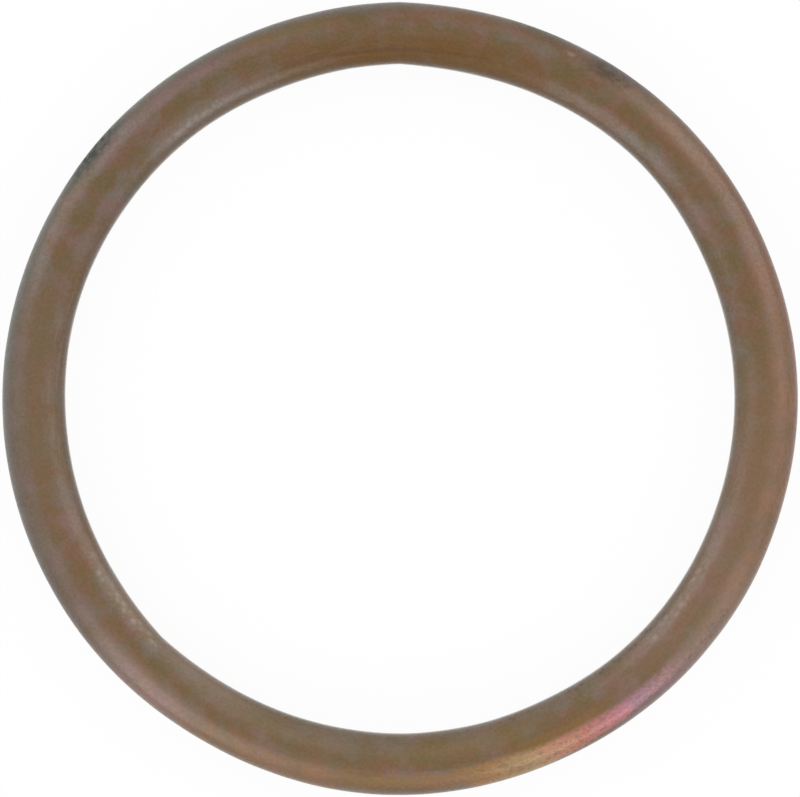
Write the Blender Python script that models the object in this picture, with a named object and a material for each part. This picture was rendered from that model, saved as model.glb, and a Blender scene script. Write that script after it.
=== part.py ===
"""Exhaust gasket: one strip of soft copper sheet, rolled up into a hollow ring.

The ring lies flat. Its two seats, above and below, are flat lands that the
port and the pipe flange press on. The shoulder at the bore is broad and
round, and the one at the rim starts with a crease at the seat's edge. The
strip's long edges meet underneath: the edge that comes down the bore wall is
tucked inside, and the edge that comes down the rim wall runs across below it.
Nothing fills the hollow, which is what lets the ring crush as the flange is
bolted up.

Metres, +Z up. The origin is on the bore's axis, in the plane of the lower seat.
"""

import math

import bmesh
import bpy

# Sizes of the ring as it leaves the packet, before it is crushed
BORE_RADIUS = 0.0190
SEAT_WIDTH = 0.00075
FREE_HEIGHT = 0.0040

# The bore's shoulder, which is wider than it is high
BORE_SHOULDER = 0.00150
BORE_SHOULDER_HEIGHT = 0.00100

# The rim's shoulder: a crease at the seat's edge, a slope and a round bend
RIM_SHOULDER = 0.00125
RIM_CREASE = math.radians(12)
RIM_BEND = 0.00105

# The sheet, and the seam that its two edges make
SHEET_THICKNESS = 0.0004
SEAM_GAP = 0.00008
TUCK_CLEARANCE = 0.00025

# How finely the round shapes are divided
RING_SEGMENTS = 72
BEND_STEPS = 5
SHARP_ANGLE = math.radians(40)

# Tarnished copper, as linear colour
COPPER_COLOUR = (0.212, 0.137, 0.088, 1.0)
COPPER_METALLIC = 0.85
COPPER_ROUGHNESS = 0.40


def clear_scene():
    for obj in list(bpy.data.objects):
        bpy.data.objects.remove(obj, do_unlink=True)


def bend(centre, across, up, start, end):
    """Points (r, z) along a bend of the strip's middle line, with its reach across and up."""
    angles = [start + (end - start) * step / BEND_STEPS for step in range(BEND_STEPS + 1)]
    centre_r, centre_z = centre
    return [
        (centre_r + across * math.cos(angle), centre_z + up * math.sin(angle))
        for angle in angles
    ]


def strip_middle_line():
    """Points (r, z) from the tucked edge, up the bore, over, down the rim and across underneath."""
    half_sheet = SHEET_THICKNESS / 2
    upper = FREE_HEIGHT - half_sheet
    lower = half_sheet
    tucked = lower + SHEET_THICKNESS + SEAM_GAP

    seat_start = BORE_RADIUS + BORE_SHOULDER
    across = BORE_SHOULDER - half_sheet
    up = BORE_SHOULDER_HEIGHT - half_sheet
    quarter = math.pi / 2
    up_the_bore = bend((seat_start, tucked + up), across, up, 3 * quarter, 2 * quarter)
    over_the_bore = bend((seat_start, upper - up), across, up, 2 * quarter, quarter)

    seat_end = seat_start + SEAT_WIDTH
    rim_bend = RIM_BEND - half_sheet
    rim_centre = seat_end + RIM_SHOULDER - RIM_BEND
    drop = (rim_centre - seat_end) * math.tan(RIM_CREASE) + rim_bend / math.cos(RIM_CREASE)
    slope_end = quarter - RIM_CREASE
    over_the_rim = bend((rim_centre, upper - drop), rim_bend, rim_bend, slope_end, 0)
    under_the_rim = bend((rim_centre, lower + drop), rim_bend, rim_bend, 0, -slope_end)

    tucked_edge = [(seat_end - TUCK_CLEARANCE, tucked)]
    upper_crease = [(seat_end, upper)]
    lower_crease = [(seat_end, lower)]
    covering_edge = [(seat_start, lower)]
    return (
        tucked_edge
        + up_the_bore
        + over_the_bore
        + upper_crease
        + over_the_rim
        + under_the_rim
        + lower_crease
        + covering_edge
    )


def tarnished_copper():
    material = bpy.data.materials.new("tarnished_copper")
    material.use_nodes = True
    shader = material.node_tree.nodes["Principled BSDF"]
    shader.inputs["Base Color"].default_value = COPPER_COLOUR
    shader.inputs["Metallic"].default_value = COPPER_METALLIC
    shader.inputs["Roughness"].default_value = COPPER_ROUGHNESS
    return material


def gasket_ring():
    """The strip's middle line, spun round the bore's axis and given the sheet's thickness."""
    strip = bmesh.new()
    points = [strip.verts.new((r, 0, z)) for r, z in strip_middle_line()]
    edges = [strip.edges.new(pair) for pair in zip(points, points[1:])]
    bmesh.ops.spin(
        strip,
        geom=points + edges,
        cent=(0, 0, 0),
        axis=(0, 0, 1),
        angle=math.tau,
        steps=RING_SEGMENTS,
        use_merge=True,
    )
    bmesh.ops.recalc_face_normals(strip, faces=strip.faces)

    mesh = bpy.data.meshes.new("gasket_ring")
    strip.to_mesh(mesh)
    strip.free()
    mesh.materials.append(tarnished_copper())
    mesh.shade_smooth()
    mesh.set_sharp_from_angle(angle=SHARP_ANGLE)

    ring = bpy.data.objects.new("gasket_ring", mesh)
    bpy.context.scene.collection.objects.link(ring)

    sheet = ring.modifiers.new("sheet", "SOLIDIFY")
    sheet.thickness = SHEET_THICKNESS
    sheet.offset = 0
    sheet.use_even_offset = True
    return ring


clear_scene()
gasket_ring()
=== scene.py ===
import math

import bpy
import numpy as np
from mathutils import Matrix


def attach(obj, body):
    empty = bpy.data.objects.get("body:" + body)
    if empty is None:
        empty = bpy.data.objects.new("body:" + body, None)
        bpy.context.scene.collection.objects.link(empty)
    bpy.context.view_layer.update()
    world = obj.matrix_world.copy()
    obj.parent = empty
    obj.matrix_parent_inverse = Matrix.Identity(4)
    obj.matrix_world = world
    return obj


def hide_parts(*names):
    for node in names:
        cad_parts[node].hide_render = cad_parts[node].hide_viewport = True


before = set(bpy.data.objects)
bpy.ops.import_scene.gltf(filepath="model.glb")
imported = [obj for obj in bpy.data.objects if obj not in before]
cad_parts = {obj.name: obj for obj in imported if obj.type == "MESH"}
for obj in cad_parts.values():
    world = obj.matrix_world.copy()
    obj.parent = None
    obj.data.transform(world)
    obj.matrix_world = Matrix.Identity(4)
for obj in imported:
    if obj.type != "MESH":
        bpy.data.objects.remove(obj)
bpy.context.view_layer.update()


# THE RING
# One strip of soft copper sheet, rolled up into a hollow ring and pressed flat above and below.
# Its long edges lap underneath, with the bore side's edge tucked inside. It was never quite
# round, and a few soft pushes in its rim and bore have left it a tenth of a millimetre out.

CAD_POINTS = np.array([vertex.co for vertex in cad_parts["gasket_ring"].data.vertices])
CAD_RADII = np.hypot(CAD_POINTS[:, 0], CAD_POINTS[:, 1])

RING_SIZES = {
    "Bore Radius": float(CAD_RADII.min()),
    "Rim Radius": float(CAD_RADII.max()),
    "Free Height": float(CAD_POINTS[:, 2].max()),
    "Bore Shoulder": 0.00150,
    "Bore Shoulder Height": 0.00100,
    "Rim Shoulder": 0.00125,
    "Rim Crease": math.radians(12),
    "Rim Bend": 0.00105,
    "Sheet Thickness": 0.0004,
    "Seam Opening": 0.00008,
    "Tuck Clearance": 0.00025,
    "Seam Waver": 0.00008,
    "Ripple Depth": 0.000012,
    "Ripple Size": 0.0016,
    "Point Spacing": 0.00025,
    "Ring Segments": 560,
    "Bend Steps": 9,
}
SEAM_WAVER_SIZE = 0.004
MERGE_DISTANCE = 0.000001
SHEARED_EDGE = 0.00005
SHEARED_EDGE_STEPS = 2
SHARP_ANGLE = math.radians(40)

# Pushes in the rim and in the bore: bearing and spread in degrees, how sharp the push is, from 0 for
# a soft one to 1 for a corner, and how far out the wall has moved
RIM_PUSHES = [
    (0, 28, 0, 0.000085),
    (-28, 14, 0, 0.000050),
    (-65, 27, 0, -0.000085),
    (-120, 26, 0, -0.000100),
    (-174, 40, 0, 0.000080),
    (-220, 12, 0, 0.000025),
    (-251, 20, 0, -0.000065),
    (-270, 7, 1, 0.000040),
    (-285, 24, 0, -0.000080),
    (-303, 18, 0, -0.000035),
    (-330, 14, 0, 0.000020),
]
BORE_PUSHES = [
    (-42, 24, 0, 0.000060),
    (-64, 12, 0, -0.000035),
    (-90, 10, 0, 0.000025),
    (-135, 19, 1, 0.000150),
    (-195, 24, 0, 0.000060),
    (-250, 20, 0, -0.000092),
    (-270, 7, 1, 0.000060),
    (-283, 22, 0, -0.000125),
    (-316, 20, 0, 0.000108),
]


def add(tree, kind, inputs=None, **settings):
    """A node with its settings, and its inputs set or linked by name or number."""
    made = tree.nodes.new(kind)
    for name, value in settings.items():
        setattr(made, name, value)
    for name, value in (inputs or {}).items():
        if isinstance(value, bpy.types.NodeSocket):
            tree.links.new(value, made.inputs[name])
        else:
            made.inputs[name].default_value = value
    return made


def maths(tree, operation, *values):
    return add(tree, "ShaderNodeMath", dict(enumerate(values)), operation=operation).outputs[0]


def vector_maths(tree, operation, *values, result="Vector"):
    made = add(tree, "ShaderNodeVectorMath", dict(enumerate(values)), operation=operation)
    return made.outputs[result]


def scaled(tree, vector, factor):
    return add(tree, "ShaderNodeVectorMath", {0: vector, "Scale": factor}, operation="SCALE").outputs[0]


def xyz(tree, x, y, z=0.0):
    return add(tree, "ShaderNodeCombineXYZ", {"X": x, "Y": y, "Z": z}).outputs[0]


def fade(tree, value, start, end, at_start, at_end):
    """Eases from one value to another as the first goes from start to end, and holds beyond."""
    return add(tree, "ShaderNodeMapRange", {
        "Value": value,
        "From Min": start,
        "From Max": end,
        "To Min": at_start,
        "To Max": at_end,
    }, interpolation_type="SMOOTHSTEP").outputs[0]


def noise(tree, place, size, detail=2.0, roughness=0.5):
    """A cloudy pattern about 0.5, with patches of about the given size."""
    return add(tree, "ShaderNodeTexNoise", {
        "Vector": place,
        "Scale": 1.0 / size if isinstance(size, float) else maths(tree, "DIVIDE", 1.0, size),
        "Detail": detail,
        "Roughness": roughness,
    }).outputs[0]


def swing(tree, pattern, reach):
    """A pattern about 0.5, as a value about 0 that goes as far as its reach each way."""
    return maths(tree, "MULTIPLY", maths(tree, "SUBTRACT", pattern, 0.5), maths(tree, "MULTIPLY", reach, 2.0))


def angle_from(tree, outward, bearing):
    """The angle round the ring, in degrees, between a point's own direction and a bearing."""
    turned = maths(tree, "RADIANS", bearing)
    towards = xyz(tree, maths(tree, "COSINE", turned), maths(tree, "SINE", turned))
    closeness = vector_maths(tree, "DOT_PRODUCT", outward, towards, result="Value")
    return maths(tree, "DEGREES", maths(tree, "ARCCOSINE", maths(tree, "MINIMUM", closeness, 1.0)))


def named_sockets(tree, kind, names, way="INPUT"):
    for name in names:
        tree.interface.new_socket(name, in_out=way, socket_type=kind)


def straight(tree, spacing, start, end):
    """A flat stretch of the strip's section between two places."""
    length = vector_maths(tree, "DISTANCE", start, end, result="Value")
    gaps = maths(tree, "CEIL", maths(tree, "DIVIDE", length, spacing))
    line = add(tree, "GeometryNodeMeshLine", {"Count": maths(tree, "ADD", gaps, 1.0)}).outputs[0]
    index = tree.nodes.new("GeometryNodeInputIndex").outputs[0]
    share = maths(tree, "DIVIDE", index, gaps)
    place = vector_maths(tree, "MULTIPLY_ADD", vector_maths(tree, "SUBTRACT", end, start), share, start)
    return add(tree, "GeometryNodeSetPosition", {"Geometry": line, "Position": place}).outputs[0]


def bend(tree, steps, centre, across, up, start, end):
    """A bent stretch of the strip's section, with its reach across and up from the centre."""
    line = add(tree, "GeometryNodeMeshLine", {"Count": maths(tree, "ADD", steps, 1.0)}).outputs[0]
    index = tree.nodes.new("GeometryNodeInputIndex").outputs[0]
    share = maths(tree, "DIVIDE", index, steps)
    angle = maths(tree, "MULTIPLY_ADD", share, maths(tree, "SUBTRACT", end, start), start)
    reach = xyz(tree, maths(tree, "COSINE", angle), maths(tree, "SINE", angle))
    place = vector_maths(tree, "MULTIPLY_ADD", reach, xyz(tree, across, up), centre)
    return add(tree, "GeometryNodeSetPosition", {"Geometry": line, "Position": place}).outputs[0]


def strip_section(tree, given):
    """The strip's middle line: out from the bore's face along X and up along Y."""
    half_sheet = maths(tree, "MULTIPLY", given["Sheet Thickness"], 0.5)
    upper = maths(tree, "SUBTRACT", given["Free Height"], half_sheet)
    layer = maths(tree, "ADD", given["Sheet Thickness"], given["Seam Opening"])
    tucked = maths(tree, "ADD", half_sheet, layer)
    seat_start = given["Bore Shoulder"]
    breadth = maths(tree, "SUBTRACT", given["Rim Radius"], given["Bore Radius"])
    seat_end = maths(tree, "SUBTRACT", breadth, given["Rim Shoulder"])
    quarter = math.pi / 2

    # The bore's shoulders, above and below
    across = maths(tree, "SUBTRACT", given["Bore Shoulder"], half_sheet)
    up = maths(tree, "SUBTRACT", given["Bore Shoulder Height"], half_sheet)
    low_centre = maths(tree, "ADD", tucked, up)
    high_centre = maths(tree, "SUBTRACT", upper, up)
    steps = given["Bend Steps"]
    up_the_bore = bend(tree, steps, xyz(tree, seat_start, low_centre), across, up, 3 * quarter, 2 * quarter)
    over_the_bore = bend(tree, steps, xyz(tree, seat_start, high_centre), across, up, 2 * quarter, quarter)

    # The rim's shoulders: a slope that starts at the crease, and then a round bend
    rim_bend = maths(tree, "SUBTRACT", given["Rim Bend"], half_sheet)
    rim_centre = maths(tree, "SUBTRACT", breadth, given["Rim Bend"])
    slope = maths(tree, "TANGENT", given["Rim Crease"])
    drop = maths(
        tree, "MULTIPLY_ADD", maths(tree, "SUBTRACT", rim_centre, seat_end), slope,
        maths(tree, "DIVIDE", rim_bend, maths(tree, "COSINE", given["Rim Crease"])),
    )
    high_rim = maths(tree, "SUBTRACT", upper, drop)
    low_rim = maths(tree, "ADD", half_sheet, drop)
    slope_end = maths(tree, "SUBTRACT", quarter, given["Rim Crease"])
    slope_back = maths(tree, "MULTIPLY", slope_end, -1.0)
    over_the_rim = bend(tree, steps, xyz(tree, rim_centre, high_rim), rim_bend, rim_bend, slope_end, 0.0)
    under_the_rim = bend(tree, steps, xyz(tree, rim_centre, low_rim), rim_bend, rim_bend, 0.0, slope_back)

    # The flat stretches, each between two places
    slope_out = maths(tree, "MULTIPLY_ADD", rim_bend, maths(tree, "COSINE", slope_end), rim_centre)
    slope_rise = maths(tree, "MULTIPLY", rim_bend, maths(tree, "SINE", slope_end))
    slope_top = xyz(tree, slope_out, maths(tree, "ADD", high_rim, slope_rise))
    slope_bottom = xyz(tree, slope_out, maths(tree, "SUBTRACT", low_rim, slope_rise))
    rim_face = maths(tree, "SUBTRACT", breadth, half_sheet)
    tucked_edge = maths(tree, "SUBTRACT", seat_end, given["Tuck Clearance"])
    flats = [
        (xyz(tree, tucked_edge, tucked), xyz(tree, seat_start, tucked)),
        (xyz(tree, half_sheet, low_centre), xyz(tree, half_sheet, high_centre)),
        (xyz(tree, seat_start, upper), xyz(tree, seat_end, upper)),
        (xyz(tree, seat_end, upper), slope_top),
        (xyz(tree, rim_face, high_rim), xyz(tree, rim_face, low_rim)),
        (slope_bottom, xyz(tree, seat_end, half_sheet)),
        (xyz(tree, seat_end, half_sheet), xyz(tree, seat_start, half_sheet)),
    ]
    joined = add(tree, "GeometryNodeJoinGeometry")
    for stretch in (up_the_bore, over_the_bore, over_the_rim, under_the_rim):
        tree.links.new(stretch, joined.inputs[0])
    for start, end in flats:
        tree.links.new(straight(tree, given["Point Spacing"], start, end), joined.inputs[0])
    whole = add(tree, "GeometryNodeMergeByDistance", {
        "Geometry": joined.outputs[0],
        "Distance": MERGE_DISTANCE,
    }).outputs[0]
    return add(tree, "GeometryNodeMeshToCurve", {"Mesh": whole}).outputs[0]


def push_group():
    """How far one push moves a wall out, which fades to nothing at the push's spread."""
    tree = bpy.data.node_groups.new("Push", "GeometryNodeTree")
    named_sockets(tree, "NodeSocketFloat", ["Bearing", "Spread", "Sharpness", "Move"])
    named_sockets(tree, "NodeSocketFloat", ["Moved"], "OUTPUT")
    given = tree.nodes.new("NodeGroupInput").outputs
    place = tree.nodes.new("GeometryNodeInputPosition").outputs[0]
    outward = vector_maths(tree, "NORMALIZE", vector_maths(tree, "MULTIPLY", place, (1, 1, 0)))
    away = angle_from(tree, outward, given["Bearing"])
    soft = fade(tree, away, 0.0, given["Spread"], 1.0, 0.0)
    nearness = maths(tree, "SUBTRACT", 1.0, maths(tree, "DIVIDE", away, given["Spread"]))
    corner = maths(tree, "POWER", maths(tree, "MAXIMUM", nearness, 0.0), 2.0)
    sharper = maths(tree, "SUBTRACT", corner, soft)
    share = maths(tree, "MULTIPLY_ADD", sharper, given["Sharpness"], soft)
    add(tree, "NodeGroupOutput", {"Moved": maths(tree, "MULTIPLY", share, given["Move"])})
    return tree


def moved_by(tree, group, pushes):
    """The sum of a wall's pushes at a point."""
    total = 0.0
    for bearing, spread, sharpness, move in pushes:
        push = add(tree, "GeometryNodeGroup", {
            "Bearing": bearing,
            "Spread": spread,
            "Sharpness": sharpness,
            "Move": move,
        }, node_tree=group)
        total = maths(tree, "ADD", push.outputs["Moved"], total)
    return total


def worn_shape(tree, given, round_ring):
    """The ring out of round, with faint ripples in the sheet and a seam that isn't quite straight."""
    place = tree.nodes.new("GeometryNodeInputPosition").outputs[0]
    flat = vector_maths(tree, "MULTIPLY", place, (1, 1, 0))
    radius = vector_maths(tree, "LENGTH", flat, result="Value")
    height = add(tree, "ShaderNodeSeparateXYZ", {"Vector": place}).outputs["Z"]
    outward = vector_maths(tree, "NORMALIZE", flat)

    push = push_group()
    pushed = add(tree, "ShaderNodeMapRange", {
        "Value": radius,
        "From Min": given["Bore Radius"],
        "From Max": given["Rim Radius"],
        "To Min": moved_by(tree, push, BORE_PUSHES),
        "To Max": moved_by(tree, push, RIM_PUSHES),
    }).outputs[0]

    seat_start = maths(tree, "ADD", given["Bore Radius"], given["Bore Shoulder"])
    seat_end = maths(tree, "SUBTRACT", given["Rim Radius"], given["Rim Shoulder"])
    in_cover = maths(tree, "LESS_THAN", height, given["Sheet Thickness"])
    near_edge = maths(tree, "MULTIPLY", in_cover, fade(tree, radius, seat_end, seat_start, 0.0, 1.0))
    waver = swing(tree, noise(tree, place, SEAM_WAVER_SIZE), given["Seam Waver"])
    along = maths(tree, "MULTIPLY_ADD", waver, near_edge, pushed)

    ripple = swing(tree, noise(tree, place, given["Ripple Size"]), given["Ripple Depth"])
    normal = tree.nodes.new("GeometryNodeInputNormal").outputs[0]
    shift = vector_maths(tree, "ADD", scaled(tree, outward, along), scaled(tree, normal, ripple))
    return add(tree, "GeometryNodeSetPosition", {"Geometry": round_ring, "Offset": shift}).outputs[0]


def folded_ring_tree():
    tree = bpy.data.node_groups.new("Folded Ring", "GeometryNodeTree")
    for name, value in RING_SIZES.items():
        named_sockets(tree, "NodeSocketInt" if isinstance(value, int) else "NodeSocketFloat", [name])
    named_sockets(tree, "NodeSocketMaterial", ["Metal"])
    named_sockets(tree, "NodeSocketGeometry", ["Ring"], "OUTPUT")
    given = tree.nodes.new("NodeGroupInput").outputs

    # A circle's curve carries a section with its Y axis down, so the section is turned over first
    section = add(tree, "GeometryNodeTransform", {
        "Geometry": strip_section(tree, given),
        "Scale": (1, -1, 1),
    }).outputs[0]
    bore = add(tree, "GeometryNodeCurvePrimitiveCircle", {
        "Resolution": given["Ring Segments"],
        "Radius": given["Bore Radius"],
    }).outputs[0]
    swept = add(tree, "GeometryNodeCurveToMesh", {"Curve": bore, "Profile Curve": section}).outputs[0]
    worn = worn_shape(tree, given, swept)
    smooth = add(tree, "GeometryNodeSetShadeSmooth", {"Geometry": worn}).outputs[0]
    real = add(tree, "GeometryNodeRealizeInstances", {"Geometry": smooth}).outputs[0]
    metal = add(tree, "GeometryNodeSetMaterial", {"Geometry": real, "Material": given["Metal"]}).outputs[0]
    add(tree, "NodeGroupOutput", {"Ring": metal})
    return tree


def folded_ring(metal):
    blank = bpy.data.objects.new("blank", bpy.data.meshes.new("blank"))
    bpy.context.scene.collection.objects.link(blank)
    rolling = blank.modifiers.new("rolling", "NODES")
    rolling.node_group = folded_ring_tree()
    values = {**RING_SIZES, "Metal": metal}
    for item in rolling.node_group.interface.items_tree:
        if item.in_out == "INPUT":
            rolling[item.identifier] = values[item.name]
    sheet = blank.modifiers.new("sheet", "SOLIDIFY")
    sheet.thickness = RING_SIZES["Sheet Thickness"]
    sheet.offset = 0
    sheet.use_even_offset = True
    edges = blank.modifiers.new("sheared_edges", "BEVEL")
    edges.width = SHEARED_EDGE
    edges.segments = SHEARED_EDGE_STEPS
    edges.limit_method = "ANGLE"
    edges.angle_limit = SHARP_ANGLE

    view = bpy.context.evaluated_depsgraph_get()
    mesh = bpy.data.meshes.new_from_object(blank.evaluated_get(view))
    bpy.data.objects.remove(blank)
    mesh.name = "folded_ring"
    ring = bpy.data.objects.new("folded_ring", mesh)
    bpy.context.scene.collection.objects.link(ring)
    return ring


# The tarnish: a clear skin of oxide over metal that it has turned brown, in patches of four tints
def hue(text):
    """A colour written as six hexadecimal digits, as linear light."""
    parts = [int(text[place:place + 2], 16) / 255 for place in (0, 2, 4)]
    return (*[part / 12.92 if part <= 0.04045 else ((part + 0.055) / 1.055) ** 2.4 for part in parts], 1)


OXIDE_RED = hue("764b34")
OXIDE_GREEN = hue("5c502c")
OXIDE_OCHRE = hue("604406")
OXIDE_GREY = hue("6f5f5c")
# The steep walls are painted greyer by their tilt: a painted reflection of the white surroundings at a
# glancing angle
WALL_SHEEN_GREY = hue("736558")
WALL_SHEEN_SHARE = 0.35
WALL_SHEEN_FROM_TO = (0.88, 0.60)
PATCH_SIZE = 0.0014
PATCH_STRETCH = 1.15
PATCH_DETAIL = 4.0
PATCH_ROUGHNESS = 0.62
PATCH_FROM_TO = (0.34, 0.66)
PATCH_SHIFT = (0.1, 0, 0)
SEAT_FROM_TO = (0.02030, 0.02115)
SEAT_OCHRE = 0.10
SEAT_EDGE = 0.00018
FINE_DETAIL = 1.0
GRAIN_SIZE = 0.00012
GRAIN_CONTRAST = 0.14
STREAK_SIZE = 0.00016
STREAK_STRETCH = 3.0
STREAK_CONTRAST = 0.14

# Broad casts of painted shade round the ring: bearing and spread in degrees, and the share of red, green and
# blue that each leaves of what lies under it. The first darkens and warms the top of the ring, the second
# cools the upper left
PAINTED_SHADE_CASTS = [
    (-270, 110, (0.93, 0.91, 0.81)),
    (-214, 52, (0.95, 0.97, 1.07)),
]
EVERY_RADIUS = (-0.1, 0.1)

# Heat colours along the rim's shoulder: the bearing in degrees at which each is purest, the radii
# that it lies between, and the colour
HEAT_COLOURS = [
    (-102, 0.02180, 0.02235, hue("6e5233")),
    (-91, 0.02145, 0.02205, hue("725a30")),
    (-84, 0.02132, 0.02212, hue("7b5835")),
    (-76, 0.02112, 0.02270, hue("89653b")),
    (-71, 0.02120, 0.02262, hue("927650")),
    (-66, 0.02125, 0.02234, hue("a07356")),
    (-61, 0.02120, 0.02224, hue("a36454")),
    (-56, 0.02130, 0.02216, hue("a4676e")),
    (-52, 0.02135, 0.02208, hue("906a77")),
    (-47, 0.02130, 0.02210, hue("8c6666")),
    (-40, 0.02140, 0.02192, hue("7c5e52")),
]
HEAT_STRENGTH = 0.95
HEAT_RAGGEDNESS = 8.0
HEAT_INNER_EDGE = 0.00022
HEAT_INNER_WANDER = 0.00025
HEAT_OUTER_EDGE = 0.00007
HEAT_OUTER_WANDER = 0.00022
HEAT_LOWEST = 0.0026
# Towards the rim the heat colours are lightened as a painted sheen: where it starts, where it is full, and
# how much
HEAT_SHEEN_FROM = 0.0219
HEAT_SHEEN_FULL_AT = 0.0223
HEAT_SHEEN_LIFT = 1.3
HEAT_END = 0.12
FLECK_SIZE = 0.00020
FLECK_STRETCH = 1.5
FLECK_STRENGTH = 0.45
FLECK_FROM_TO = (0.36, 0.52)

# On the upper side, stains, painted sheens and painted shade: bearing and spread in degrees, radius from and
# to, strength, raggedness, the share of the skin's gloss that each takes away, and colour
STAINS_SHEENS_AND_SHADE = [
    (-25, 40, 0.0196, 0.0210, 0.45, 0.0, 0.0, hue("7d5d4a")),
    (-5, 14, 0.0196, 0.0222, 0.45, 0.1, 0.0, hue("6b4e22")),
    (-46, 12, 0.0219, 0.0230, 0.50, 0.0, 0.0, hue("85646e")),
    (-64, 12, 0.0207, 0.0212, 0.70, 0.0, 0.0, hue("745010")),
    (-112, 24, 0.0193, 0.0204, 0.50, 0.0, 0.0, hue("705f40")),
    # A pale painted sheen on the bore's shoulder
    (-134, 26, 0.0188, 0.01965, 0.50, 0.1, 0.0, hue("907a6a")),
    (-80, 18, 0.0194, 0.0206, 0.50, 0.1, 0.0, hue("6f5924")),
    # A pale painted sheen along the bore's edge
    (-50, 90, 0.0184, 0.0194, 0.30, 0.0, 0.0, hue("8a7862")),
    # This row is painted shade along the top of the bore's shoulder; the next row is a darker line within it
    (-274, 34, 0.0191, 0.0205, 0.80, 0.2, 0.6, hue("644204")),
    (-270, 30, 0.01966, 0.01992, 0.60, 0.1, 0.4, hue("543204")),
    (-34, 15, 0.0213, 0.0230, 0.70, 0.4, 0.0, hue("8a7262")),
    (-8, 38, 0.0212, 0.0229, 0.90, 0.6, 0.0, hue("856048")),
    (-113, 25, 0.0212, 0.0229, 0.80, 0.6, 0.0, hue("845e3c")),
    (-133, 14, 0.0211, 0.0226, 0.65, 0.5, 0.0, hue("8e6f68")),
    (-182, 28, 0.0190, 0.0216, 0.45, 0.0, 0.0, hue("674f34")),
    (-166, 38, 0.0213, 0.0229, 0.75, 0.5, 0.0, hue("5e4d40")),
    # A pale painted sheen on the bore's shoulder
    (-232, 10, 0.0193, 0.0203, 0.25, 0.3, 0.0, hue("7e7870")),
    (-238, 14, 0.0214, 0.0222, 0.75, 0.6, 0.0, hue("745252")),
    (-252, 12, 0.0215, 0.0223, 0.60, 0.4, 0.0, hue("6d5421")),
    (-282, 16, 0.0216, 0.0223, 0.60, 0.4, 0.0, hue("7b5235")),
    (-314, 14, 0.0213, 0.0226, 0.80, 0.6, 0.0, hue("82634c")),
    (-338, 22, 0.0213, 0.0226, 0.85, 0.6, 0.0, hue("7c533a")),
    (-347, 28, 0.0224, 0.0234, 0.55, 0.1, 0.0, hue("926660")),
    # A grey-blue painted sheen along the rim's edge
    (-215, 85, 0.02215, 0.0232, 0.50, 0.0, 0.0, hue("68706c")),
    (-285, 42, 0.0224, 0.0234, 0.55, 0.2, 0.0, hue("4c4c4c")),
    # A pale scratch on the rim's shoulder, painted lighter as a small glint
    (-296.4, 0.8, 0.02170, 0.02192, 0.42, 0.0, 0.0, hue("98806f")),
]

# Grime on the upper side, in the same terms but for the gloss, of which it leaves none where it is thick
GRIME = [
    (-219, 5.5, 0.02195, 0.02305, 0.82, 0.7, hue("27312b")),
    (-219, 9, 0.0221, 0.0232, 0.60, 0.5, hue("3a453f")),
    (-303, 5, 0.0215, 0.0223, 0.60, 0.7, hue("45382f")),
    (-305, 7, 0.0221, 0.0229, 0.45, 0.4, hue("555560")),
    (-291, 6, 0.0220, 0.0230, 0.40, 0.6, hue("4a5445")),
]
GRIME_SIZE = 0.00025
GRIME_STRETCH = 1.6
AREA_CORE = 0.3
AREA_EDGE_SHARE = 0.35
AREA_LOWEST = 0.0020
AREA_FULL_HEIGHT = 0.0034
AREA_BREAKS = (0.40, 0.60)

# Long thin marks that the rolling left along the strip: bearing and spread, radius from and to,
# strength, and colour
MARKS = [
    (-265, 26, 0.0194, 0.0204, 0.60, hue("5a3a10")),
    (-355, 36, 0.0216, 0.0229, 0.80, hue("745129")),
    (-86, 22, 0.0209, 0.0217, 0.40, hue("825a32")),
    (-84, 14, 0.0218, 0.0225, 0.40, hue("7c4e34")),
    (-185, 28, 0.0192, 0.0199, 0.40, hue("7c6a48")),
]
MARK_SIZE = 0.00013
MARK_STRETCH = 9.0
MARK_BREAKS = (0.50, 0.66)

# Soft round specks, dark ones, and pale painted glints: how far apart they are, and then a stain's terms but
# for the gloss
SPECKS_AND_GLINTS = [
    (0.00040, -56, 34, 0.01905, 0.01940, 0.65, 0.0, hue("454640")),
    (0.00032, -38, 9, 0.02175, 0.02225, 0.45, 0.0, hue("54483e")),
    # The pale rows here are painted glints on the bore's shoulder, where the lamps' sheen lies
    (0.00050, -143, 14, 0.01940, 0.01980, 0.45, 0.0, hue("9a8c82")),
    (0.00060, -36, 14, 0.01950, 0.01995, 0.45, 0.0, hue("a68a7a")),
    (0.00042, -233, 9, 0.01945, 0.01990, 0.25, 0.0, hue("96928a")),
    (0.00030, -231, 9, 0.01915, 0.01985, 0.40, 0.0, hue("54483c")),
    (0.00030, -311, 8, 0.01915, 0.01985, 0.40, 0.0, hue("54483c")),
    (0.00040, -351, 18, 0.01905, 0.01940, 0.45, 0.0, hue("4c4a42")),
]
SPECK_AND_GLINT_FROM_TO = (0.10, 0.55)

# The skin's gloss and the metal's roughness, and how deep the fine relief is
SKIN_GLOSS = (0.70, 1.0)
GLOSS_FROM_TO = (0.35, 0.65)
SKIN_ROUGHNESS = 0.28
BARE_METALLIC = 0.75
GRIME_METALLIC = 0.35
BARE_ROUGHNESS = 0.62
HEAT_ROUGHNESS = 0.45
HEAT_DULLING = 0.4
ROUGHNESS_SWING = 0.05
GRIME_ROUGHNESS = 0.75
STREAK_DEPTH = 0.0000015
GRAIN_DEPTH = 0.0000015
DIMPLE_SIZE = 0.00018
SEAT_DIMPLES = 0.000022
SHOULDER_DIMPLES = 0.000045


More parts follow.
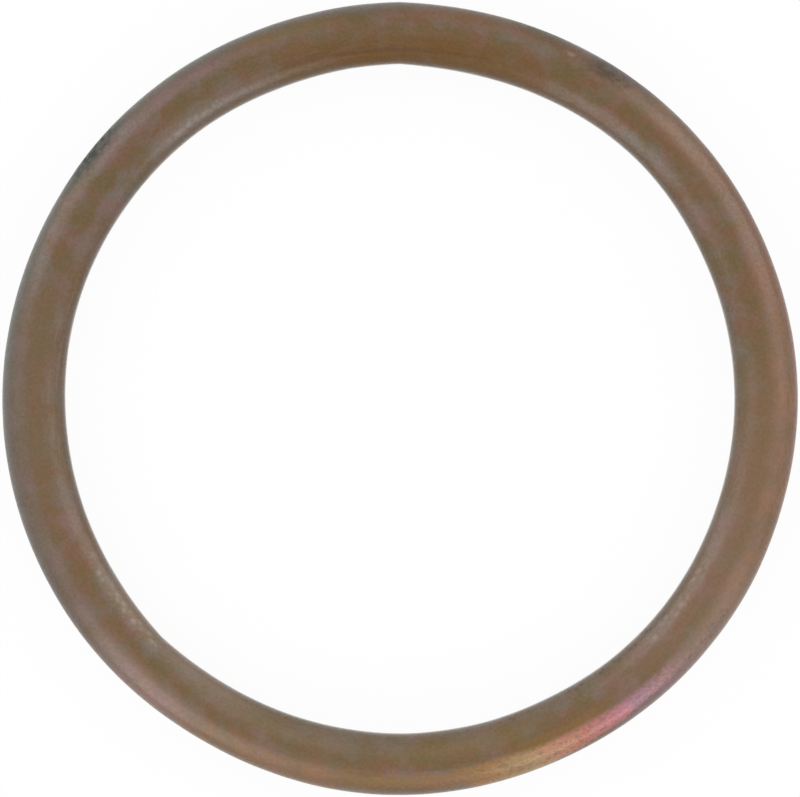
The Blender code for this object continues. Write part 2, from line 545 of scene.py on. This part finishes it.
def blend_colours(tree, share, under, over, way="MIX"):
    """One colour laid over another."""
    mixed = add(tree, "ShaderNodeMix", {"Factor": share}, data_type="RGBA", blend_type=way)
    for number, colour in ((6, under), (7, over)):
        if isinstance(colour, bpy.types.NodeSocket):
            tree.links.new(colour, mixed.inputs[number])
        else:
            mixed.inputs[number].default_value = colour
    return mixed.outputs[2]


def band(tree, radius, start, end, edge):
    """1 between two radii, which fades to 0 on either side."""
    past_start = maths(tree, "DIVIDE", maths(tree, "SUBTRACT", radius, start), edge)
    before_end = maths(tree, "DIVIDE", maths(tree, "SUBTRACT", end, radius), edge)
    return fade(tree, maths(tree, "MINIMUM", past_start, before_end), -1.0, 1.0, 0.0, 1.0)


def area_group():
    """Where a stain, a painted sheen or painted shade lies, from 0 off it to its strength on it."""
    tree = bpy.data.node_groups.new("Area Mask", "ShaderNodeTree")
    named_sockets(tree, "NodeSocketVector", ["Outward"])
    named_sockets(tree, "NodeSocketFloat", [
        "Radius", "Height", "Break Up", "Bearing", "Spread", "From", "To", "Strength", "Raggedness",
    ])
    named_sockets(tree, "NodeSocketFloat", ["Mask"], "OUTPUT")
    given = tree.nodes.new("NodeGroupInput").outputs
    away = angle_from(tree, given["Outward"], given["Bearing"])
    core = maths(tree, "MULTIPLY", given["Spread"], AREA_CORE)
    round_it = fade(tree, away, core, given["Spread"], given["Strength"], 0.0)
    edge = maths(tree, "MULTIPLY", maths(tree, "SUBTRACT", given["To"], given["From"]), AREA_EDGE_SHARE)
    across_it = band(tree, given["Radius"], given["From"], given["To"], edge)
    on_top = fade(tree, given["Height"], AREA_LOWEST, AREA_FULL_HEIGHT, 0.0, 1.0)
    ragged = add(tree, "ShaderNodeMapRange", {
        "Value": given["Raggedness"],
        "To Min": 1.0,
        "To Max": given["Break Up"],
    }).outputs[0]
    mask = maths(tree, "MULTIPLY", maths(tree, "MULTIPLY", round_it, across_it), on_top)
    add(tree, "NodeGroupOutput", {"Mask": maths(tree, "MULTIPLY", mask, ragged)})
    return tree


def area_mask(tree, group, surface, terms):
    """Where an area of the given terms lies on the surface: a stain, grime, a mark, a painted sheen, painted
    shade or a painted glint.
    """
    names = ("Bearing", "Spread", "From", "To", "Strength", "Raggedness")
    values = {**surface, **dict(zip(names, terms))}
    return add(tree, "ShaderNodeGroup", values, node_tree=group).outputs["Mask"]


def ramp_of(tree, share, stops):
    """A colour ramp through the given places and colours."""
    ramp = add(tree, "ShaderNodeValToRGB", {"Fac": share})
    elements = ramp.color_ramp.elements
    for element, (place, colour) in zip(elements, (stops[0], stops[-1])):
        element.position = place
        element.color = colour
    for place, colour in stops[1:-1]:
        elements.new(place).color = colour
    return ramp.outputs[0]


def heat_tint(tree, surface, ragged, flecks):
    """The heat colours round the rim's shoulder, lightened towards the rim as a painted sheen, and where they
    lie.
    """
    first, last = HEAT_COLOURS[0][0], HEAT_COLOURS[-1][0]
    places = [(bearing - first) / (last - first) for bearing, *_ in HEAT_COLOURS]
    parts = add(tree, "ShaderNodeSeparateXYZ", {"Vector": surface["Outward"]}).outputs
    bearing = maths(tree, "DEGREES", maths(tree, "ARCTAN2", parts["Y"], parts["X"]))
    bearing = maths(tree, "ADD", bearing, swing(tree, ragged, HEAT_RAGGEDNESS))
    share = maths(tree, "DIVIDE", maths(tree, "SUBTRACT", bearing, first), float(last - first))
    tint = ramp_of(tree, share, [(place, row[3]) for place, row in zip(places, HEAT_COLOURS)])
    # Painted sheen: the heat colours grow lighter towards the rim
    sheen_lift = fade(tree, surface["Radius"], HEAT_SHEEN_FROM, HEAT_SHEEN_FULL_AT, 1.0, HEAT_SHEEN_LIFT)
    tint = scaled(tree, tint, sheen_lift)

    # The radii are carried by a second ramp, as shares of the way from the bore to the rim
    bore, breadth = RING_SIZES["Bore Radius"], RING_SIZES["Rim Radius"] - RING_SIZES["Bore Radius"]
    reaches = [
        (place, ((start - bore) / breadth, (end - bore) / breadth, 0, 1))
        for place, (_, start, end, _) in zip(places, HEAT_COLOURS)
    ]
    reach = add(tree, "ShaderNodeSeparateColor", {"Color": ramp_of(tree, share, reaches)}).outputs
    start = maths(tree, "MULTIPLY_ADD", reach["Red"], breadth, bore)
    end = maths(tree, "MULTIPLY_ADD", reach["Green"], breadth, bore)
    inner = maths(tree, "ADD", surface["Radius"], swing(tree, ragged, HEAT_INNER_WANDER))
    outer = maths(tree, "ADD", surface["Radius"], swing(tree, flecks, HEAT_OUTER_WANDER))
    past_start = maths(tree, "DIVIDE", maths(tree, "SUBTRACT", inner, start), HEAT_INNER_EDGE)
    before_end = maths(tree, "DIVIDE", maths(tree, "SUBTRACT", end, outer), HEAT_OUTER_EDGE)
    mask = fade(tree, maths(tree, "MINIMUM", past_start, before_end), -1.0, 1.0, 0.0, 1.0)
    mask = maths(tree, "MULTIPLY", mask, fade(tree, flecks, *FLECK_FROM_TO, 1.0 - FLECK_STRENGTH, 1.0))
    on_top = fade(tree, surface["Height"], HEAT_LOWEST, AREA_FULL_HEIGHT, 0.0, HEAT_STRENGTH)
    first_end = fade(tree, share, 0.0, HEAT_END, 0.0, 1.0)
    last_end = fade(tree, share, 1.0, 1.0 - HEAT_END, 0.0, 1.0)
    ends = maths(tree, "MULTIPLY", first_end, last_end)
    return tint, maths(tree, "MULTIPLY", maths(tree, "MULTIPLY", mask, on_top), ends)


def drawn_out(tree, surface, stretch):
    """A place whose way round the ring is shortened, so that a pattern there is drawn out along it."""
    middle = (RING_SIZES["Bore Radius"] + RING_SIZES["Rim Radius"]) / 2
    reach = maths(tree, "SUBTRACT", surface["Radius"], middle * (1 - 1 / stretch))
    upwards = xyz(tree, 0.0, 0.0, surface["Height"])
    return vector_maths(tree, "ADD", scaled(tree, surface["Outward"], reach), upwards)


def surface_of(tree, place):
    """A point's direction from the axis, its radius and its height."""
    flat = vector_maths(tree, "MULTIPLY", place, (1, 1, 0))
    return {
        "Outward": vector_maths(tree, "NORMALIZE", flat),
        "Radius": vector_maths(tree, "LENGTH", flat, result="Value"),
        "Height": add(tree, "ShaderNodeSeparateXYZ", {"Vector": place}).outputs["Z"],
    }


def oxide(tree, surface, seat):
    """Two patterns of patches, and the four tints that they share out, with more ochre on the seat."""
    along = drawn_out(tree, surface, PATCH_STRETCH)
    patches = noise(tree, along, PATCH_SIZE, PATCH_DETAIL, PATCH_ROUGHNESS)
    moved = vector_maths(tree, "ADD", along, PATCH_SHIFT)
    veils = noise(tree, moved, PATCH_SIZE, PATCH_DETAIL, PATCH_ROUGHNESS)
    ochre = maths(tree, "MULTIPLY_ADD", seat, SEAT_OCHRE, veils)
    warm = blend_colours(tree, fade(tree, patches, *PATCH_FROM_TO, 0.0, 1.0), OXIDE_GREEN, OXIDE_RED)
    pale = blend_colours(tree, fade(tree, ochre, *PATCH_FROM_TO, 0.0, 1.0), OXIDE_GREY, OXIDE_OCHRE)
    return patches, veils, blend_colours(tree, 0.5, warm, pale)


# Painted reflection: the steeper the surface, the more of the wall grey it takes
def walls_with_painted_sheen(tree, colour):
    normal = tree.nodes.new("ShaderNodeNewGeometry").outputs["Normal"]
    upright = maths(tree, "ABSOLUTE", add(tree, "ShaderNodeSeparateXYZ", {"Vector": normal}).outputs["Z"])
    return blend_colours(tree, fade(tree, upright, *WALL_SHEEN_FROM_TO, 0.0, WALL_SHEEN_SHARE), colour, WALL_SHEEN_GREY)


def stains_and_painted_light(tree, group, surface, colour):
    """The colour under its painted shade casts and its stains, painted sheens and painted shade, and how much
    of the skin's gloss these take away.
    """
    for bearing, spread, left in PAINTED_SHADE_CASTS:
        mask = area_mask(tree, group, surface, (bearing, spread, *EVERY_RADIUS, 1.0, 0.0))
        colour = blend_colours(tree, mask, colour, (*left, 1), "MULTIPLY")
    dulled = 0.0
    for *terms, dulling, tint in STAINS_SHEENS_AND_SHADE:
        mask = area_mask(tree, group, surface, terms)
        colour = blend_colours(tree, mask, colour, tint)
        if dulling:
            dulled = maths(tree, "MAXIMUM", maths(tree, "MULTIPLY", mask, dulling), dulled)
    return colour, dulled


def specked_and_glinted(tree, group, surface, place, colour):
    for spacing, *terms, tint in SPECKS_AND_GLINTS:
        cells = add(tree, "ShaderNodeTexVoronoi", {"Vector": place, "Scale": 1.0 / spacing})
        dots = fade(tree, cells.outputs["Distance"], *SPECK_AND_GLINT_FROM_TO, 1.0, 0.0)
        mask = maths(tree, "MULTIPLY", dots, area_mask(tree, group, surface, terms))
        colour = blend_colours(tree, mask, colour, tint)
    return colour


def marked(tree, group, surface, colour):
    lines = noise(tree, drawn_out(tree, surface, MARK_STRETCH), MARK_SIZE, FINE_DETAIL)
    thin = {**surface, "Break Up": fade(tree, lines, *MARK_BREAKS, 0.0, 1.0)}
    for *terms, tint in MARKS:
        colour = blend_colours(tree, area_mask(tree, group, thin, (*terms, 1.0)), colour, tint)
    return colour


def grimed(tree, group, surface, colour):
    """The colour under its grime, and where the grime lies."""
    crumbs = noise(tree, drawn_out(tree, surface, GRIME_STRETCH), GRIME_SIZE)
    crumbly = {**surface, "Break Up": fade(tree, crumbs, *AREA_BREAKS, 0.0, 1.0)}
    grimy = 0.0
    for *terms, tint in GRIME:
        mask = area_mask(tree, group, crumbly, terms)
        colour = blend_colours(tree, mask, colour, tint)
        grimy = maths(tree, "MAXIMUM", mask, grimy)
    return colour, grimy


def tarnished_copper():
    metal = bpy.data.materials.new("tarnished_copper")
    metal.use_nodes = True
    tree = metal.node_tree
    shader = tree.nodes["Principled BSDF"]
    shader.inputs["Coat Roughness"].default_value = SKIN_ROUGHNESS
    place = tree.nodes.new("ShaderNodeTexCoord").outputs["Object"]
    surface = surface_of(tree, place)
    seat = band(tree, surface["Radius"], *SEAT_FROM_TO, SEAT_EDGE)
    patches, veils, colour = oxide(tree, surface, seat)
    colour = walls_with_painted_sheen(tree, colour)

    # What lies on the oxide, from below upwards, with painted sheens, painted shade and painted glints among
    # the stains. Its own patches break up their edges
    mixed = maths(tree, "MULTIPLY", maths(tree, "ADD", patches, veils), 0.5)
    surface["Break Up"] = fade(tree, mixed, *AREA_BREAKS, 0.0, 1.0)
    group = area_group()
    colour, dulled = stains_and_painted_light(tree, group, surface, colour)
    flecks = noise(tree, drawn_out(tree, surface, FLECK_STRETCH), FLECK_SIZE)
    heat, heated = heat_tint(tree, surface, mixed, flecks)
    colour = blend_colours(tree, heated, colour, heat)
    colour = specked_and_glinted(tree, group, surface, place, colour)
    colour = marked(tree, group, surface, colour)
    colour, grimy = grimed(tree, group, surface, colour)

    # Fine grain, and streaks left along the strip as it was rolled up
    grain = noise(tree, place, GRAIN_SIZE, FINE_DETAIL)
    streaks = noise(tree, drawn_out(tree, surface, STREAK_STRETCH), STREAK_SIZE, FINE_DETAIL)
    grain_light = swing(tree, grain, GRAIN_CONTRAST / 2)
    streak_light = swing(tree, streaks, STREAK_CONTRAST / 2)
    light = maths(tree, "ADD", maths(tree, "ADD", grain_light, streak_light), 1.0)
    tree.links.new(scaled(tree, colour, light), shader.inputs["Base Color"])
    tree.links.new(fade(tree, grimy, 0.0, 1.0, BARE_METALLIC, GRIME_METALLIC), shader.inputs["Metallic"])

    # The skin's gloss comes and goes with a pattern of its own. Stains, the painted shade at the top of the
    # bore, heat and grime take it away
    dimples = noise(tree, place, DIMPLE_SIZE, FINE_DETAIL)
    gloss = fade(tree, dimples, *GLOSS_FROM_TO, *SKIN_GLOSS)
    dulled = maths(tree, "MAXIMUM", maths(tree, "MULTIPLY", heated, HEAT_DULLING), dulled)
    dulled = maths(tree, "MAXIMUM", grimy, dulled)
    gloss = maths(tree, "MULTIPLY", gloss, maths(tree, "SUBTRACT", 1.0, dulled))
    tree.links.new(gloss, shader.inputs["Coat Weight"])
    rough = maths(tree, "ADD", swing(tree, patches, ROUGHNESS_SWING), BARE_ROUGHNESS)
    rough = maths(tree, "MULTIPLY_ADD", heated, HEAT_ROUGHNESS - BARE_ROUGHNESS, rough)
    rough = maths(tree, "MULTIPLY_ADD", grimy, GRIME_ROUGHNESS - BARE_ROUGHNESS, rough)
    tree.links.new(rough, shader.inputs["Roughness"])

    # The seats were pressed flat, so their dimples are shallower
    depth = fade(tree, seat, 0.0, 1.0, SHOULDER_DIMPLES, SEAT_DIMPLES)
    relief = maths(tree, "MULTIPLY", dimples, depth)
    relief = maths(tree, "MULTIPLY_ADD", streaks, STREAK_DEPTH, relief)
    relief = maths(tree, "MULTIPLY_ADD", grain, GRAIN_DEPTH, relief)
    bump = add(tree, "ShaderNodeBump", {"Strength": 1.0, "Distance": 1.0, "Height": relief}).outputs[0]
    tree.links.new(bump, shader.inputs["Normal"])
    return metal


ring = folded_ring(tarnished_copper())
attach(ring, "root")
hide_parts("gasket_ring")


# THE FLOOR
# A plain white floor under a white sky. It glows towards the camera, so that it shows as white,
# and the rest of its light is its own, so that the ring's shadow stays on it.

FLOOR_HALF_WIDTH = 1.5
FLOOR_HEIGHT = -0.00002
FLOOR_WHITE = (0.95, 0.95, 0.95, 1)
FLOOR_GLOW = 0.95


def seen_or_mirrored(tree):
    """1 for the rays of the camera and for those that metal or glass sends on, and 0 for the rest."""
    path = tree.nodes.new("ShaderNodeLightPath").outputs
    mirrored = maths(tree, "MAXIMUM", path["Is Glossy Ray"], path["Is Transmission Ray"])
    return maths(tree, "MAXIMUM", path["Is Camera Ray"], mirrored)


def white_floor():
    paint = bpy.data.materials.new("white_floor")
    paint.use_nodes = True
    tree = paint.node_tree
    tree.nodes.clear()
    matt = add(tree, "ShaderNodeBsdfDiffuse", {"Color": FLOOR_WHITE}).outputs[0]
    glow = add(tree, "ShaderNodeEmission", {"Strength": 1.0}).outputs[0]
    share = maths(tree, "MULTIPLY", seen_or_mirrored(tree), FLOOR_GLOW)
    mixed = add(tree, "ShaderNodeMixShader", {"Fac": share, 1: matt, 2: glow}).outputs[0]
    add(tree, "ShaderNodeOutputMaterial", {"Surface": mixed})

    half = FLOOR_HALF_WIDTH
    corners = [(x * half, y * half, FLOOR_HEIGHT) for x, y in ((-1, -1), (1, -1), (1, 1), (-1, 1))]
    mesh = bpy.data.meshes.new("floor")
    mesh.from_pydata(corners, [], [(0, 1, 2, 3)])
    mesh.materials.append(paint)
    floor = bpy.data.objects.new("floor", mesh)
    bpy.context.scene.collection.objects.link(floor)
    return floor


white_floor()


# THE LIGHT
# A white sky all round, and four soft lamps on the diagonals, whose sheen shows on the shoulders.

SKY_LIGHT = 0.6
LAMP_DISTANCE = 0.40
LAMP_BREADTH = 0.16
LAMP_COLOUR = (0.95, 0.98, 1.0)

# Each lamp: bearing and height over the floor in degrees, its length in metres and its power in watts
LAMPS = [
    (-60, 40, 0.18, 0.24),
    (-127, 42, 0.36, 0.33),
    (-215, 42, 0.36, 0.34),
    (-330, 42, 0.36, 0.34),
]


def white_sky():
    world = bpy.data.worlds.new("white_sky")
    world.use_nodes = True
    tree = world.node_tree
    background = tree.nodes["Background"]
    background.inputs["Color"].default_value = (1, 1, 1, 1)
    strength = add(tree, "ShaderNodeMapRange", {
        "Value": seen_or_mirrored(tree),
        "To Min": SKY_LIGHT,
        "To Max": 1.0,
    }).outputs[0]
    tree.links.new(strength, background.inputs["Strength"])
    bpy.context.scene.world = world


def soft_lamp(number, bearing, height, length, power):
    light = bpy.data.lights.new(f"lamp_{number}", "AREA")
    light.shape = "RECTANGLE"
    light.size = length
    light.size_y = LAMP_BREADTH
    light.energy = power
    light.color = LAMP_COLOUR
    lamp = bpy.data.objects.new(light.name, light)
    turn = math.radians(bearing)
    rise = math.radians(height)
    lamp.location = (
        LAMP_DISTANCE * math.cos(rise) * math.cos(turn),
        LAMP_DISTANCE * math.cos(rise) * math.sin(turn),
        LAMP_DISTANCE * math.sin(rise),
    )
    lamp.rotation_euler = (0, math.pi / 2 - rise, turn)
    bpy.context.scene.collection.objects.link(lamp)


white_sky()
for number, lamp in enumerate(LAMPS, 1):
    soft_lamp(number, *lamp)


# THE CAMERA
# It looks straight down at the ring, which all but fills the frame. The width that the frame shows
# is taken at the height where the rim is widest.

CAMERA_HEIGHT = 0.90
SENSOR = 0.036
SEEN_WIDTH = 0.04541
WIDEST_HEIGHT = 0.0027
NEAREST_SEEN = 0.01
FARTHEST_SEEN = 10
RING_OFF_CENTRE = (0.0, -0.000010)


def camera_above():
    lens = bpy.data.cameras.new("camera")
    lens.sensor_fit = "HORIZONTAL"
    lens.sensor_width = SENSOR * 1000
    lens.lens = SENSOR * 1000 * (CAMERA_HEIGHT - WIDEST_HEIGHT) / SEEN_WIDTH
    lens.clip_start = NEAREST_SEEN
    lens.clip_end = FARTHEST_SEEN
    camera = bpy.data.objects.new("camera", lens)
    camera.location = (-RING_OFF_CENTRE[0], -RING_OFF_CENTRE[1], CAMERA_HEIGHT)
    bpy.context.scene.collection.objects.link(camera)
    bpy.context.scene.camera = camera


camera_above()
bpy.context.scene.view_settings.view_transform = "Standard"
